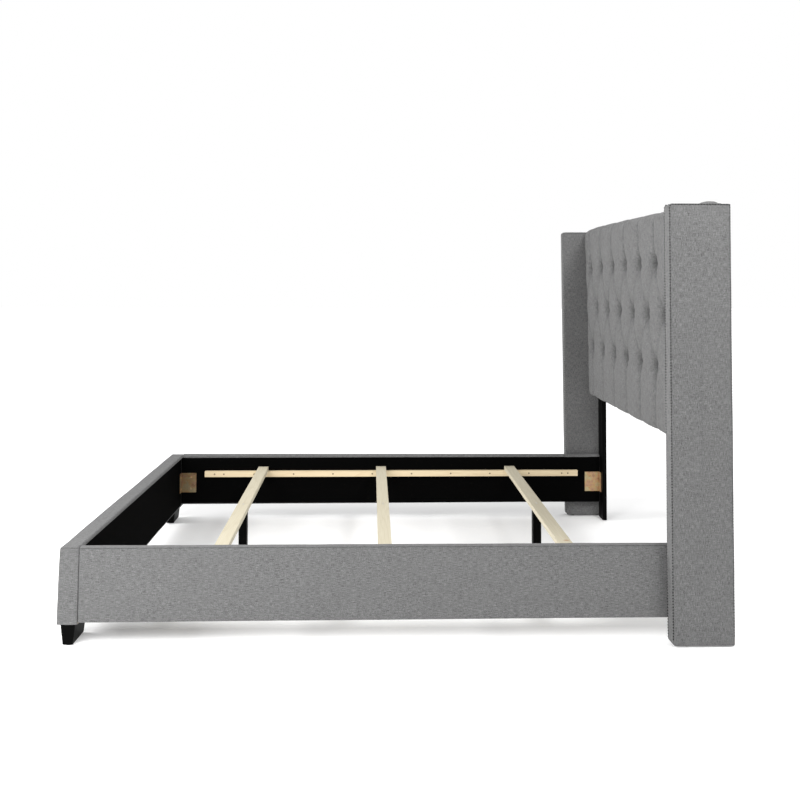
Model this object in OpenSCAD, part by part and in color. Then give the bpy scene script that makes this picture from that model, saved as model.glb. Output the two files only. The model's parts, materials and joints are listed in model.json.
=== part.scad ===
// Queen-size wing-back bed: tufted headboard between two floor-length wings, three
// upholstered sides, pine ledgers and slats, and a threaded levelling foot under each
// centre leg. Millimetres, +X towards the headboard, +Y to the sleeper's left, +Z up.
// The origin is on the floor under the middle of the bed.

/* [Mattress bay] */
// Width between the inner faces of the side rails
bay_w = 1570; // [1400:5:1900]
// Length from the footboard's inner face to the front of the headboard
bay_l = 2044; // [1950:2:2100]

/* [Footboard] */
// Thickness of the upholstered footboard
foot_t = 60; // [54:1:80]
// Height of its top above the floor
foot_top = 318; // [300:1:380]
// Height of its underside above the floor
foot_base = 70; // [60:1:80]
// How far each end stands out past the side rail
foot_over = 2; // [0:1:6]

/* [Side rails] */
// Thickness of an upholstered rail
rail_t = 33; // [32:1:45]
// Height of a rail's top above the floor
rail_top = 316; // [300:1:380]
// Height of a rail's underside above the floor
rail_base = 78; // [70:1:90]
// How far the fabric turns down over a rail's inner face
wrap_down = 11; // [8:1:30]

/* [Headboard] */
// Height of the panel's top above the floor
panel_top = 1462; // [1300:2:1600]
// Height of the panel's underside above the floor
panel_base = 616; // [560:2:700]
// Depth of the whole panel, from the padding's front to the back edge
panel_d = 83; // [80:1:95]
// Thickness of the front padding before it wraps over the board
foam_t = 49; // [40:1:55]
// Thickness of the plywood panel board
board_t = 12; // [9:1:15]
// Width of each headboard leg
post_w = 80; // [60:1:100]
// Thickness of each headboard leg and of the battens behind the board
post_t = 20; // [18:1:22]
// Distance from a wing's inner face to the headboard leg beside it
post_inset = 16; // [14:1:40]

/* [Tufting] */
// Height of the middle row of buttons above the floor
button_mid_z = 1063; // [1000:1:1100]
// Height between two rows of buttons
button_row_z = 198; // [150:1:220]
// Distance between two buttons of a row
button_pitch = 208; // [150:1:208]
// Diameter of a covered button
button_d = 22; // [16:1:28]
// How deep a button's face sits behind the front of the padding
button_sink = 24; // [15:1:28]

/* [Wings] */
// Depth of a wing, front to back
wing_d = 204; // [180:1:240]
// Thickness of an upholstered wing
wing_t = 51; // [45:1:65]
// Height of a wing's top above the floor
wing_top = 1442; // [1300:2:1600]
// How far a wing stands out in front of the headboard panel
wing_lead = 116; // [90:1:140]
// Depth of the chamfer at the bottom of a wing's front edge
wing_cut_x = 9; // [5:1:40]
// Height of the same chamfer
wing_cut_z = 13; // [5:1:50]

/* [Slats and centre legs] */
// Distance of each slat from the footboard's inner face
slat_places = [420, 1000, 1643]; // [200:1:1900]
// How far each slat lies askew, in degrees
slat_skew = [0.6, 0, -0.2]; // [-1:0.1:1]
// Width of a slat
slat_w = 49; // [40:1:90]
// Thickness of a slat
slat_t = 20; // [15:1:25]
// Height of a ledger's underside above the floor
ledger_base = 213; // [180:1:225]
// Height of a ledger
ledger_h = 28; // [25:1:45]
// Thickness of a ledger
ledger_t = 20; // [15:1:30]
// Side of a square centre leg
centre_leg_w = 34; // [30:1:50]

/* [Fabric and padding] */
// Thickness of the cover fabric
skin = 1.2; // [1:0.1:1.5]
// Thickness of the foam on rails, footboard and wings
pad_t = 6; // [4:1:8]

/* [Hidden] */
$fn = 48;

// clearances
soft_gap = 0.2;      // between a cover and the padding under it
part_gap = 1;        // between two upholstered parts that meet
drill_gap = 0.1;     // a screw's hole is this much larger in radius than the screw
through = 1;         // how far a cutting shape runs past the face it cuts

// lengthways: the footboard's outer face and the wings' backs are the ends of the bed
bed_l = foot_t + bay_l + wing_d - wing_lead;
foot_x0 = -bed_l / 2;
foot_x1 = foot_x0 + foot_t;
panel_x0 = foot_x1 + bay_l;
panel_x1 = panel_x0 + panel_d;
board_x0 = panel_x0 + foam_t;
board_x1 = board_x0 + board_t;
wing_x0 = panel_x0 - wing_lead;
wing_x1 = wing_x0 + wing_d;

// crossways, on the left side: the right side is its mirror
rail_y0 = bay_w / 2;
rail_y1 = rail_y0 + rail_t;
wing_y0 = rail_y1 + part_gap;
wing_y1 = wing_y0 + wing_t;
post_y1 = wing_y0 - post_inset;
post_y0 = post_y1 - post_w;
foot_y1 = rail_y1 + foot_over;
panel_y1 = wing_y0 - part_gap;

// layers of a rail, from its black inner face outwards
liner_t = 1;
rail_board_t = 18;
edge_r = 8;                          // rounding of the rails' and the footboard's edges
rail_outer_r = 12;                   // rounding of a rail's top outer edge
foot_outer_r = 14;                   // rounding of the footboard's top outer edge
cover_in = skin + soft_gap;          // from the outer face to the padding
core_in = cover_in + pad_t + soft_gap; // from the outer face to the wood

// headboard board
board_edge = 13;                     // the padding wraps this far past the board
board_y1 = panel_y1 - 6;
batten_h = 60;
roll_r = 38;                         // rounding of the panel's front top edge
lip_r = 24;                          // rounding of its front bottom edge
back_r = 14;                         // rounding of its back top edge
low_back_r = 4;                      // rounding of its back bottom edge
back_return = 26;                    // fabric turned over on the back, all round
dust_in = [8, 10, 18];               // black cloth from the back's sides, bottom and top

// buttons: eight, seven and eight in three staggered rows
button_rows = [-1, 0, 1];
button_counts = [8, 7, 8];
button_h = 7;
button_room = 4;                     // the pocket is this much wider than a button
tie_d = 3;
tie_hole_d = 5;
anchor_d = 20;
anchor_t = 3;

// wings
wing_base = 5;
wing_front_pad = 12;                 // extra padding along a wing's front edge
wing_corner_r = 14;
wing_pockets = 6;
wing_web = 9;
wing_bolt_z = [700, 1000, 1300];
wing_bolt_x = board_x1 + 7;
wing_bolt_d = 8;
wing_bolt_head_d = 13;
wing_bolt_head_h = 8;
barrel_nut_d = 12;
barrel_nut_in = 28;                  // from the leg's edge to the barrel nut's middle
wing_bolt_past = 12;                 // a bolt's tip past the barrel nut's middle
wing_bolt_end = 2;                   // the hole runs on this far past the tip
wing_back_r = 6;                     // rounding of a wing's back top edge
wing_glide_in = [50, 26];            // from a wing's front and from its back
wing_glide_d = 24;
wing_glide_pin_d = 3;
wing_glide_pin_l = 12;

// brackets and their bolts
bracket_t = 3;
bracket_long = 76;
bracket_short = 32;
bracket_z0 = 134;
bracket_z1 = 230;
bracket_bolt_d = 6;
bracket_bolt_l = 16;
bracket_bolt_zs = [bracket_z0 + 20, bracket_z1 - 20];
bracket_bolt_long = 50;              // from the corner, on the rail
bracket_bolt_short = 19;             // from the corner, on the footboard or headboard leg
bracket_head_d = 11;
bracket_head_top_d = 7;
bracket_head_h = 3.2;

// ledgers and slats
ledger_x0 = foot_x1 + 121;           // starts clear of the foot bracket
ledger_x1 = foot_x1 + 1989;
ledger_screw_first = ledger_x0 + 49;
ledger_screw_pitch = 196.6;
ledger_screw_count = 10;
ledger_pair_foot = 46;               // the second screw at the foot end stands this far off
ledger_pair_head = 31;               // and the one at the head end this far
ledger_screw_xs = concat(
    [for (i = [0 : ledger_screw_count - 1]) ledger_screw_first + i * ledger_screw_pitch],
    [ledger_screw_first + ledger_pair_foot,
     ledger_screw_first + (ledger_screw_count - 1) * ledger_screw_pitch - ledger_pair_head]);
slat_z0 = ledger_base + ledger_h;
ledger_screw_l = ledger_t + rail_board_t - 2;
slat_screw_bite = 20;                // into a ledger
slat_z1 = slat_z0 + slat_t;
slat_end_gap = 3;
slat_screw_in = 7;                   // from a slat's end to its screw
slat_l = bay_w - 2 * slat_end_gap;
screw_d = 4;
screw_head_d = 8;
screw_head_h = 2.6;

// legs of the footboard
foot_leg_x0 = foot_x0 + 2;
foot_leg_w = 48;                     // at the top
foot_leg_d = 115;
foot_leg_taper = 7.5;                // narrower by this at the bottom, front and back
foot_leg_in = 5;                     // from the footboard's end
foot_leg_bolt_in = [25, 80];         // from the footboard's end
foot_bolt_down = 32;                 // into a leg
foot_bolt_l = 70;
foot_bolt_end = 3;                   // its holes run on this far past its ends
foot_glide_d = 26;
post_glide_d = 18;
foot_glide_h = 4;
post_glide_h = 3;
hanger_d = 8;

// centre legs and their levelling feet
centre_leg_base = 26;
leg_screw_y = 9;                     // each side of a slat's middle
leg_screw_bite = 35;                 // into a centre leg
stem_room = 16;                      // a leg's bore runs on this far above the stem
level_pad_d = 34;
level_pad_h = 6;
level_seat_z = 3;                    // underside of the stem, inside the pad
level_nut_af = 13;
level_nut_h = 5;
level_stem_d = 8;
level_stem_top = 58;
tee_flange_d = 20;
tee_flange_t = 1.5;
tee_barrel_d = 10;
tee_barrel_h = 12;
level_clear = 0.05;

// the part of a square corner that lies outside an arc of radius r
module corner_waste(at, dir, r) {
    translate(at)
        mirror([dir[0] < 0 ? 1 : 0, 0])
            mirror([0, dir[1] < 0 ? 1 : 0])
                difference() {
                    translate([-through, -through]) square(r + through);
                    translate([r, r]) circle(r);
                }
}

// rectangle from lo to hi; radii are bottom-left, bottom-right, top-right, top-left
module soft_rect(lo, hi, radii) {
    corners = [lo, [hi[0], lo[1]], hi, [lo[0], hi[1]]];
    dirs = [[1, 1], [-1, 1], [-1, -1], [1, -1]];
    difference() {
        translate(lo) square(hi - lo);
        for (i = [0 : 3])
            if (radii[i] > 0) corner_waste(corners[i], dirs[i], radii[i]);
    }
}

// a Y-Z outline run along X
module run_x(x0, x1) {
    translate([x0, 0, 0]) rotate([90, 0, 90]) linear_extrude(x1 - x0) children();
}

// an X-Z outline run along Y
module run_y(y0, y1) {
    translate([0, y1, 0]) rotate([90, 0, 0]) linear_extrude(y1 - y0) children();
}

module block(lo, hi) {
    translate(lo) cube(hi - lo);
}

// a round rod from a point, along +X, +Y or +Z
module rod_x(at, d, l) { translate(at) rotate([0, 90, 0]) cylinder(d = d, h = l); }
module rod_y(at, d, l) { translate(at) rotate([-90, 0, 0]) cylinder(d = d, h = l); }
module rod_z(at, d, l) { translate(at) cylinder(d = d, h = l); }

// the same thing on both sides of the bed
module both_sides() {
    children();
    mirror([0, 1, 0]) children();
}

module right_side() {
    mirror([0, 1, 0]) children();
}

// ---- headboard ------------------------------------------------------------

function button_y(row, i) = (i - (button_counts[row] - 1) / 2) * button_pitch;
function button_z(row) = button_mid_z + button_rows[row] * button_row_z;

// its children once at each button, at the button's face on the panel's front plane
module at_buttons() {
    for (row = [0 : len(button_rows) - 1])
        for (i = [0 : button_counts[row] - 1])
            translate([panel_x0, button_y(row, i), button_z(row)]) children();
}

module panel_outline(inset) {
    soft_rect([panel_x0 + inset, panel_base + inset], [panel_x1 - inset, panel_top - inset],
              [lip_r - inset, low_back_r, back_r - inset, roll_r - inset]);
}

// the slots where the two legs leave the underside of the panel
module post_slots() {
    both_sides()
        block([board_x1 - soft_gap, post_y0 - soft_gap, panel_base - through],
              [board_x1 + post_t + soft_gap, post_y1 + soft_gap, panel_base + board_edge + through]);
}

module headboard_board() {
    color("burlywood") difference() {
        block([board_x0, -board_y1, panel_base + board_edge],
              [board_x1, board_y1, panel_top - board_edge]);
        at_buttons() {
            rod_x([foam_t - through, 0, 0], tie_hole_d, board_t + 2 * through);
            rod_x([foam_t + board_t - anchor_t, 0, 0], anchor_d + 1, anchor_t + through);
        }
    }
}

module headboard_top_batten() {
    color("burlywood")
        block([board_x1, -post_y0 + part_gap, panel_top - board_edge - batten_h],
              [board_x1 + post_t, post_y0 - part_gap, panel_top - board_edge]);
}

module headboard_bottom_batten() {
    color("burlywood")
        block([board_x1, -post_y0 + part_gap, panel_base + board_edge],
              [board_x1 + post_t, post_y0 - part_gap, panel_base + board_edge + batten_h]);
}

module headboard_middle_stile() {
    color("burlywood")
        block([board_x1, -batten_h / 2, panel_base + board_edge + batten_h],
              [board_x1 + post_t, batten_h / 2, panel_top - board_edge - batten_h]);
}

module headboard_foam() {
    color("lightyellow") difference() {
        run_y(-panel_y1 + cover_in, panel_y1 - cover_in) panel_outline(cover_in);
        block([board_x0, -panel_y1, panel_base + board_edge - soft_gap],
              [panel_x1, panel_y1, panel_top - board_edge + soft_gap]);
        at_buttons() {
            rod_x([-through, 0, 0], button_d + button_room, button_sink + button_h + through);
            rod_x([0, 0, 0], tie_hole_d, foam_t + through);
        }
        post_slots();
    }
}

module headboard_cover() {
    color("darkgray") difference() {
        run_y(-panel_y1, panel_y1) panel_outline(0);
        run_y(-panel_y1 + skin, panel_y1 - skin) panel_outline(skin);
        block([board_x1, -panel_y1 + back_return, panel_base + back_return],
              [panel_x1 + through, panel_y1 - back_return, panel_top - back_return]);
        at_buttons() rod_x([-through, 0, 0], button_d + button_room, skin + 2 * through);
        for (z = wing_bolt_z)
            both_sides()
                rod_y([wing_bolt_x, panel_y1 - skin - through, z], wing_bolt_d + 2, skin + 2 * through);
        post_slots();
    }
}

module headboard_dust_cover() {
    color("black")
        block([panel_x1 + soft_gap, -panel_y1 + dust_in[0], panel_base + dust_in[1]],
              [panel_x1 + soft_gap + liner_t, panel_y1 - dust_in[0], panel_top - dust_in[2]]);
}

// a covered button: a low dome on a short cylinder
module button() {
    rim_h = 4;
    dome_r = 20;
    rod_x([button_sink + button_h - rim_h, 0, 0], button_d, rim_h);
    intersection() {
        translate([button_sink + dome_r, 0, 0]) sphere(dome_r, $fn = 64);
        rod_x([button_sink, 0, 0], button_d, button_h);
    }
}

module tuft_buttons() {
    color("gray") at_buttons() button();
}

module button_ties() {
    color("ivory") at_buttons()
        rod_x([button_sink + button_h, 0, 0], tie_d,
              foam_t + board_t - anchor_t - button_sink - button_h);
}

module button_anchors() {
    color("silver") at_buttons() rod_x([foam_t + board_t - anchor_t, 0, 0], anchor_d, anchor_t);
}

// leg of the headboard: runs from the floor up behind the board
module headboard_leg() {
    hole_y = post_y1 - barrel_nut_in - wing_bolt_past - wing_bolt_end;
    color("black") difference() {
        block([board_x1, post_y0, post_glide_h], [board_x1 + post_t, post_y1, panel_top - board_edge]);
        for (z = wing_bolt_z) {
            rod_y([wing_bolt_x, hole_y, z], wing_bolt_d + 2 * drill_gap,
                  post_y1 - hole_y + through);
            rod_x([board_x1 - through, post_y1 - barrel_nut_in, z], barrel_nut_d + 2 * drill_gap,
                  post_t + 2 * through);
        }
        for (z = bracket_bolt_zs)
            rod_x([board_x1 - through, rail_y0 - bracket_bolt_short, z],
                  bracket_bolt_d + 2 * drill_gap, bracket_bolt_l + 1 + through);
    }
}

module headboard_leg_left() { headboard_leg(); }
module headboard_leg_right() { right_side() headboard_leg(); }

// ---- wings ----------------------------------------------------------------

// side outline of a wing; front is a further inset of its front edge, and bottom is how
// far it runs below the wing's underside
module wing_outline(inset, front, bottom) {
    x0 = wing_x0 + inset + front;
    difference() {
        soft_rect([x0, wing_base - bottom], [wing_x1 - inset, wing_top - inset],
                  [0, 0, wing_back_r, wing_corner_r - inset]);
        polygon([[x0 - through, wing_base - bottom - through],
                 [x0 + wing_cut_x, wing_base - bottom - through],
                 [x0 + wing_cut_x, wing_base],
                 [x0, wing_base + wing_cut_z],
                 [x0 - through, wing_base + wing_cut_z]]);
    }
}

module wing_block(inset, front = 0, bottom = 0) {
    run_y(wing_y0 + inset, wing_y1 - inset) wing_outline(inset, front, bottom);
}

module wing_bolt_holes(d) {
    for (z = wing_bolt_z)
        rod_y([wing_bolt_x, wing_y0 - through, z], d, wing_t / 2);
}

// hollow frame: pockets open to the outer side, closed by a web on the inner side
module wing_frame() {
    border = 32;
    back_border = 25;
    bar = 40;
    pocket_h = (wing_top - wing_base - 2 * border - (wing_pockets - 1) * bar) / wing_pockets;
    color("burlywood") difference() {
        wing_block(core_in, wing_front_pad);
        for (i = [0 : wing_pockets - 1])
            block([wing_x0 + core_in + wing_front_pad + border, wing_y0 + core_in + wing_web,
                   wing_base + border + i * (pocket_h + bar)],
                  [wing_x1 - core_in - back_border, wing_y1,
                   wing_base + border + i * (pocket_h + bar) + pocket_h]);
        wing_bolt_holes(wing_bolt_d + 2 * drill_gap);
        for (z = wing_bolt_z)
            rod_y([wing_bolt_x, wing_y0 + core_in + wing_web, z], wing_bolt_head_d + 1, wing_t);
        wing_glide_spots()
            rod_z([0, 0, 0], wing_glide_pin_d + 2 * drill_gap, wing_base + wing_glide_pin_l + 1);
    }
}

module wing_padding() {
    color("lightyellow") difference() {
        wing_block(cover_in);
        wing_block(core_in - soft_gap, wing_front_pad, through);
        wing_bolt_holes(wing_bolt_d + 2);
    }
}

module wing_cover() {
    color("darkgray") difference() {
        wing_block(0);
        wing_block(skin, 0, through);
        wing_bolt_holes(wing_bolt_d + 2);
    }
}

module wing_frame_left() { wing_frame(); }
module wing_frame_right() { right_side() wing_frame(); }
module wing_padding_left() { wing_padding(); }
module wing_padding_right() { right_side() wing_padding(); }
module wing_cover_left() { wing_cover(); }
module wing_cover_right() { right_side() wing_cover(); }

// bolts from recesses in the wings' frames into barrel nuts in the headboard's legs
module wing_bolts() {
    seat_y = wing_y0 + core_in + wing_web;
    tip_y = post_y1 - barrel_nut_in - wing_bolt_past;
    color("silver") both_sides()
        for (z = wing_bolt_z) {
            rod_y([wing_bolt_x, tip_y, z], wing_bolt_d, seat_y - tip_y);
            rod_y([wing_bolt_x, seat_y, z], wing_bolt_head_d, wing_bolt_head_h);
        }
}

module wing_barrel_nuts() {
    color("silver") both_sides()
        for (z = wing_bolt_z)
            difference() {
                rod_x([board_x1 + 1, post_y1 - barrel_nut_in, z], barrel_nut_d, post_t - 2);
                rod_y([wing_bolt_x, post_y1 - barrel_nut_in - barrel_nut_d, z],
                      wing_bolt_d + 2 * drill_gap, 2 * barrel_nut_d);
            }
}

module wing_glide_spots() {
    for (x = [wing_x0 + wing_glide_in[0], wing_x1 - wing_glide_in[1]])
        translate([x, (wing_y0 + wing_y1) / 2, 0]) children();
}

module wing_glides() {
    color("dimgray") both_sides() wing_glide_spots() {
        rod_z([0, 0, 0], wing_glide_d, wing_base);
        rod_z([0, 0, wing_base], wing_glide_pin_d, wing_glide_pin_l);
    }
}

// ---- side rails -----------------------------------------------------------

rail_x0 = foot_x1;
rail_x1 = board_x1;
rail_wood_y0 = rail_y0 + cover_in;
rail_wood_y1 = rail_wood_y0 + rail_board_t;

module rail_wood_outline(grow) {
    translate([rail_wood_y0 - grow, rail_base + cover_in - grow])
        square([rail_board_t + 2 * grow,
                rail_top - rail_base - cover_in - core_in + 2 * grow]);
}

module rail_outline(inset) {
    soft_rect([rail_y0 + inset, rail_base + inset], [rail_y1 - inset, rail_top - inset],
              [0, edge_r - inset, rail_outer_r - inset, edge_r - inset]);
}

// holes through the lining and into the board for the ledger's and the brackets' fixings
module rail_holes(depth) {
    for (x = ledger_screw_xs)
        rod_y([x, rail_y0 - through, slat_z0 - ledger_h / 2], screw_d + 2 * drill_gap,
              depth + through);
    for (x = [rail_x0 + bracket_bolt_long, rail_x1 - bracket_bolt_long], z = bracket_bolt_zs)
        rod_y([x, rail_y0 - through, z], bracket_bolt_d + 2 * drill_gap, depth + through);
}

module rail_board() {
    color("burlywood") difference() {
        run_x(rail_x0 + cover_in, rail_x1 - cover_in) rail_wood_outline(0);
        rail_holes(bracket_bolt_l + 1);
    }
}

module rail_padding() {
    color("lightyellow") run_x(rail_x0 + cover_in, rail_x1 - cover_in) difference() {
        rail_outline(cover_in);
        rail_wood_outline(soft_gap);
    }
}

// fabric over the top and the outer face, turned under the bottom and down the inner face
module rail_cover() {
    color("darkgray") difference() {
        run_x(rail_x0, rail_x1) rail_outline(0);
        run_x(rail_x0 + skin, rail_x1 - skin) rail_outline(skin);
        run_x(rail_x0 - through, rail_x1 + through)
            translate([rail_y0 - through, rail_base + skin])
                square([liner_t + skin + through, rail_top - rail_base - skin - wrap_down]);
    }
}

module rail_liner() {
    color("black") difference() {
        block([rail_x0 + cover_in, rail_y0, rail_base + cover_in],
              [rail_x1 - cover_in, rail_y0 + liner_t - soft_gap / 2, rail_top - wrap_down - soft_gap]);
        rail_holes(2 * liner_t);
    }
}

module rail_board_left() { rail_board(); }
module rail_board_right() { right_side() rail_board(); }
module rail_padding_left() { rail_padding(); }
module rail_padding_right() { right_side() rail_padding(); }
module rail_cover_left() { rail_cover(); }
module rail_cover_right() { right_side() rail_cover(); }
module rail_liner_left() { rail_liner(); }
module rail_liner_right() { right_side() rail_liner(); }

// ---- ledgers --------------------------------------------------------------

// countersunk screw from the origin along +Z, its head's flat top at the origin
module wood_screw(l) {
    cylinder(d1 = screw_head_d, d2 = screw_d, h = screw_head_h);
    cylinder(d = screw_d, h = l);
}

module wood_screw_hole(l) {
    translate([0, 0, -through]) cylinder(d = screw_head_d + 2 * drill_gap, h = through);
    cylinder(d1 = screw_head_d + 2 * drill_gap, d2 = screw_d + 2 * drill_gap, h = screw_head_h);
    cylinder(d = screw_d + 2 * drill_gap, h = l + through);
}

module at_ledger_screws() {
    for (x = ledger_screw_xs)
        translate([x, rail_y0 - ledger_t, slat_z0 - ledger_h / 2]) rotate([-90, 0, 0]) children();
}

// side is +1 for the left ledger and -1 for the right one
module ledger(side) {
    color("wheat") difference() {
        mirror([0, side < 0 ? 1 : 0, 0]) difference() {
            block([ledger_x0, rail_y0 - ledger_t, ledger_base], [ledger_x1, rail_y0, slat_z0]);
            at_ledger_screws() wood_screw_hole(ledger_t);
        }
        for (i = [0 : 2])
            at_slat_end(i, side)
                rod_z([0, 0, -slat_t - slat_screw_bite - 2], screw_d + 2 * drill_gap,
                      slat_screw_bite + 2 + through);
    }
}

module ledger_left() { ledger(1); }
module ledger_right() { ledger(-1); }

module ledger_screws() {
    color("silver") both_sides() at_ledger_screws() wood_screw(ledger_screw_l);
}

// ---- corner brackets ------------------------------------------------------

// L bracket in the inner corner at x, opening towards dir (+1 head, -1 foot)
module bracket(x, dir) {
    color("goldenrod") difference() {
        union() {
            block([min(x, x + dir * bracket_long), rail_y0 - bracket_t, bracket_z0],
                  [max(x, x + dir * bracket_long), rail_y0, bracket_z1]);
            block([min(x, x + dir * bracket_t), rail_y0 - bracket_short, bracket_z0],
                  [max(x, x + dir * bracket_t), rail_y0, bracket_z1]);
        }
        for (z = bracket_bolt_zs) {
            rod_y([x + dir * bracket_bolt_long, rail_y0 - bracket_t - through, z],
                  bracket_bolt_d + 2 * drill_gap, bracket_t + 2 * through);
            rod_x([min(x, x + dir * bracket_t) - through, rail_y0 - bracket_bolt_short, z],
                  bracket_bolt_d + 2 * drill_gap, bracket_t + 2 * through);
        }
    }
}

module bracket_foot_left() { bracket(rail_x0, 1); }
module bracket_foot_right() { right_side() bracket(rail_x0, 1); }
module bracket_head_left() { bracket(rail_x1, -1); }
module bracket_head_right() { right_side() bracket(rail_x1, -1); }

// button-head bolt from the origin along +Z, the underside of its head at the origin
module bracket_bolt() {
    translate([0, 0, -bracket_head_h])
        cylinder(d1 = bracket_head_top_d, d2 = bracket_head_d, h = bracket_head_h);
    cylinder(d = bracket_bolt_d, h = bracket_t + bracket_bolt_l - 1);
}

module bracket_bolts() {
    color("silver") both_sides()
        for (corner = [[rail_x0, 1], [rail_x1, -1]], z = bracket_bolt_zs) {
            translate([corner[0] + corner[1] * bracket_bolt_long, rail_y0 - bracket_t, z])
                rotate([-90, 0, 0]) bracket_bolt();
            translate([corner[0] + corner[1] * bracket_t, rail_y0 - bracket_bolt_short, z])
                rotate([0, -corner[1] * 90, 0]) bracket_bolt();
        }
}

// ---- footboard ------------------------------------------------------------

module foot_outline(inset) {
    soft_rect([foot_x0 + inset, foot_base + inset], [foot_x1 - inset, foot_top - inset],
              [edge_r - inset, 0, edge_r - inset, foot_outer_r - inset]);
}

foot_core_x0 = foot_x0 + core_in;
foot_core_x1 = foot_x1 - cover_in;

module footboard_frame() {
    bays = 7;
    end_post = 110;
    bar = 40;
    bay = (2 * (foot_y1 - core_in - end_post) - (bays - 1) * bar) / bays;
    color("burlywood") difference() {
        block([foot_core_x0, -foot_y1 + core_in, foot_base + cover_in],
              [foot_core_x1, foot_y1 - core_in, foot_top - core_in]);
        for (i = [0 : bays - 1])
            translate([foot_core_x0 - through, -foot_y1 + core_in + end_post + i * (bay + bar),
                       foot_base + cover_in + bar])
                cube([foot_t, bay, foot_top - foot_base - cover_in - core_in - 2 * bar]);
        both_sides() {
            for (z = bracket_bolt_zs)
                rod_x([foot_core_x1 - bracket_bolt_l, rail_y0 - bracket_bolt_short, z],
                      bracket_bolt_d + 2 * drill_gap, bracket_bolt_l + through);
            foot_leg_bolt_spots()
                rod_z([0, 0, foot_base], hanger_d + 2 * drill_gap,
                      foot_bolt_l - foot_bolt_down + foot_bolt_end);
        }
    }
}

module footboard_padding() {
    color("lightyellow") difference() {
        run_y(-foot_y1 + cover_in, foot_y1 - cover_in) foot_outline(cover_in);
        block([foot_core_x0 - soft_gap, -foot_y1 + core_in - soft_gap, foot_base],
              [foot_x1, foot_y1 - core_in + soft_gap, foot_top - core_in + soft_gap]);
    }
}

module footboard_cover() {
    color("darkgray") difference() {
        run_y(-foot_y1, foot_y1) foot_outline(0);
        run_y(-foot_y1 + skin, foot_y1 - skin) foot_outline(skin);
        block([foot_x1 - liner_t - skin, -rail_y0, foot_base + skin],
              [foot_x1 + through, rail_y0, foot_top - wrap_down]);
        both_sides() foot_leg_bolt_spots()
            rod_z([0, 0, foot_base - through], hanger_d + 1, skin + 2 * through);
    }
}

module footboard_liner() {
    color("black") difference() {
        block([foot_x1 - liner_t + soft_gap / 2, -rail_y0 + soft_gap, foot_base + cover_in],
              [foot_x1, rail_y0 - soft_gap, foot_top - wrap_down - soft_gap]);
        both_sides()
            for (z = bracket_bolt_zs)
                rod_x([foot_x1 - 2 * liner_t, rail_y0 - bracket_bolt_short, z],
                      bracket_bolt_d + 2 * drill_gap, 3 * liner_t);
    }
}

module foot_leg_bolt_spots() {
    for (from_end = foot_leg_bolt_in)
        translate([(foot_core_x0 + foot_core_x1) / 2, foot_y1 - from_end, 0]) children();
}

module foot_leg() {
    x1 = foot_leg_x0 + foot_leg_w;
    color("black") difference() {
        run_y(foot_y1 - foot_leg_in - foot_leg_d, foot_y1 - foot_leg_in)
            polygon([[foot_leg_x0 + foot_leg_taper, foot_glide_h],
                     [x1 - foot_leg_taper, foot_glide_h],
                     [x1, foot_base], [foot_leg_x0, foot_base]]);
        foot_leg_bolt_spots()
            rod_z([0, 0, foot_base - foot_bolt_down - foot_bolt_end],
                  hanger_d + 2 * drill_gap, foot_bolt_down + foot_bolt_end + through);
    }
}

module foot_leg_left() { foot_leg(); }
module foot_leg_right() { right_side() foot_leg(); }

module foot_leg_bolts() {
    color("silver") both_sides() foot_leg_bolt_spots()
        rod_z([0, 0, foot_base - foot_bolt_down], hanger_d, foot_bolt_l);
}

module leg_glides() {
    color("dimgray") both_sides() {
        for (from_end = foot_leg_bolt_in)
            rod_z([foot_leg_x0 + foot_leg_w / 2, foot_y1 - from_end, 0], foot_glide_d,
                  foot_glide_h);
        for (y = [post_y0 + post_glide_d, post_y1 - post_glide_d])
            rod_z([board_x1 + post_t / 2, y, 0], post_glide_d, post_glide_h);
    }
}

// ---- slats and centre legs --------------------------------------------------

// its children in a slat's own frame: the middle of the slat's top, turned as it lies
module at_slat(i) {
    translate([foot_x1 + slat_places[i], 0, slat_z1]) rotate([0, 0, slat_skew[i]]) children();
}

module at_slat_end(i, side) {
    at_slat(i) translate([0, side * (slat_l / 2 - slat_screw_in), 0]) children();
}

// the two screws that hold a centre leg to its slat
module at_leg_screws(i) {
    at_slat(i)
        for (y = [-leg_screw_y, leg_screw_y])
            translate([0, y, 0]) rotate([180, 0, 0]) children();
}

module slat(i) {
    color("wheat") difference() {
        at_slat(i) block([-slat_w / 2, -slat_l / 2, -slat_t], [slat_w / 2, slat_l / 2, 0]);
        at_leg_screws(i) wood_screw_hole(slat_t);
        for (side = [-1, 1])
            at_slat_end(i, side) rotate([180, 0, 0]) wood_screw_hole(slat_t);
    }
}

module slat_foot() { slat(0); }
module slat_middle() { slat(1); }
module slat_head() { slat(2); }

module slat_screws() {
    color("silver")
        for (i = [0 : 2], side = [-1, 1])
            at_slat_end(i, side) rotate([180, 0, 0]) wood_screw(slat_t + slat_screw_bite);
}

module centre_leg(i) {
    w = centre_leg_w / 2;
    color("black") difference() {
        at_slat(i) block([-w, -w, centre_leg_base - slat_z1], [w, w, -slat_t]);
        at_leg_screws(i) rod_z([0, 0, slat_t - through], screw_d + 2 * drill_gap,
                               leg_screw_bite + 4 + through);
        at_slat(i) {
            rod_z([0, 0, centre_leg_base - slat_z1 - through], tee_barrel_d + 2 * drill_gap,
                  tee_barrel_h + through);
            rod_z([0, 0, centre_leg_base - slat_z1], level_stem_d + 1,
                  level_stem_top + stem_room - centre_leg_base);
        }
    }
}

module centre_leg_foot() { centre_leg(0); }
module centre_leg_middle() { centre_leg(1); }
module centre_leg_head() { centre_leg(2); }

module centre_leg_screws() {
    color("silver") for (i = [0 : 2]) at_leg_screws(i) wood_screw(slat_t + leg_screw_bite);
}

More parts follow.
